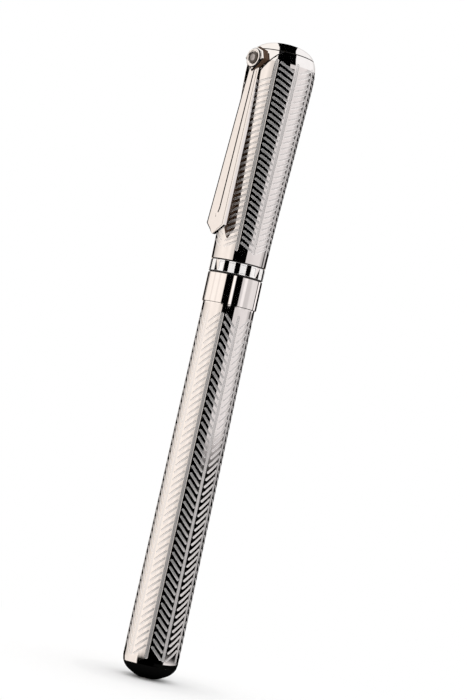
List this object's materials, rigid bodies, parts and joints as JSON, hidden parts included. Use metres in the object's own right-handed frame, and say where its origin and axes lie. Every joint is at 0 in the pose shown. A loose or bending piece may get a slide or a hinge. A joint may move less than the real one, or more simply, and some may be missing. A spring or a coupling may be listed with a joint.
{
  "type": "rollerball pen",
  "caption": "Capped metal rollerball pen with a stone-set spring clip, engraved cap and barrel, plain bands and a domed tail.",
  "frame": {"origin": "centre of the small flat at the tip of the domed tail, on the pen's axis", "axes": "+Z along the pen's axis from tail to cap, -Y out through the middle of the clip"},
  "size_m": [0.0148, 0.0166, 0.1375],
  "materials": {
    "polished_plate": "mirror-polished precious-metal plating",
    "engraved_plate": "mirror plating with fine satin engraved strokes",
    "brass": "turned, bright",
    "black_lacquer": "gloss black lacquer",
    "black_plastic": "moulded, satin",
    "spring_steel": "drawn wire, bright",
    "zinc_steel": "zinc plated",
    "seal_rubber": "matt black",
    "dark_stone": "polished black stone",
    "refill_metal": "drawn tube, satin",
    "carbide": "polished carbide",
    "ink_fibre": "ink-soaked fibre"
  },
  "bodies": {
    "section": {"section_coupling": "brass", "cap_seal": "seal_rubber", "section_core": "black_plastic", "grip_trim_ring": "polished_plate", "grip_sleeve": "black_lacquer", "nose_cone": "polished_plate"},
    "cap": {"cap_shell": "engraved_plate", "cap_crown": "polished_plate", "crown_screw": "zinc_steel", "crown_washer": "zinc_steel", "cap_trim_ring": "polished_plate", "inner_cap": "black_plastic", "catch_spring": "spring_steel", "clip_carrier": "zinc_steel", "clip_shield": "polished_plate", "clip_pivot_pin": "spring_steel", "clip_return_spring": "spring_steel"},
    "clip": {"clip_arm": "polished_plate", "clip_bezel": "polished_plate", "clip_stone": "dark_stone"},
    "tail_spring": {"refill_spring": "spring_steel"},
    "barrel": {"tail_cap": "polished_plate", "barrel_shell": "engraved_plate", "barrel_liner": "brass", "thread_bush": "brass", "barrel_ferrule": "polished_plate", "spring_seat": "black_plastic"},
    "refill": {"refill_tube": "refill_metal", "refill_end_plug": "black_plastic", "refill_reservoir": "ink_fibre", "refill_feed": "black_plastic", "refill_point": "refill_metal"},
    "ball": {"refill_ball": "carbide"}
  },
  "joints": [
    {"name": "cap_pull", "type": "slide", "parent": "section", "child": "cap", "axis": [0, 0, 1], "range_m": [0, 0.06]},
    {"name": "clip_open", "type": "hinge", "parent": "cap", "child": "clip", "pos_m": [0, -0.0056, 0.1313], "axis": [-1, 0, 0], "range_deg": [0, 6], "stiffness_Nm_per_rad": 1, "springref_deg": -2.86, "deforming": ["clip_return_spring"]},
    {"name": "section_unscrew", "type": "hinge", "parent": "barrel", "child": "tail_spring", "pos_m": [0, 0, 0.08], "axis": [0, 0, 1], "range_deg": [0, 2340]},
    {"name": "section_travel", "type": "slide", "parent": "tail_spring", "child": "section", "axis": [0, 0, 1], "range_m": [0, 0.0065]},
    {"name": "refill_float", "type": "slide", "parent": "section", "child": "refill", "axis": [0, 0, -1], "range_m": [0, 0.001], "stiffness_N_per_m": 300, "springref_m": -0.008, "deforming": ["refill_spring"]},
    {"name": "ball_roll", "type": "hinge", "parent": "refill", "child": "ball", "pos_m": [0, 0, 0.12525], "axis": [1, 0, 0], "continuous": true}
  ],
  "couplings": [
    {"joint": "section_unscrew", "follows": "section_travel", "rad_per_m": 6283.2}
  ]
}
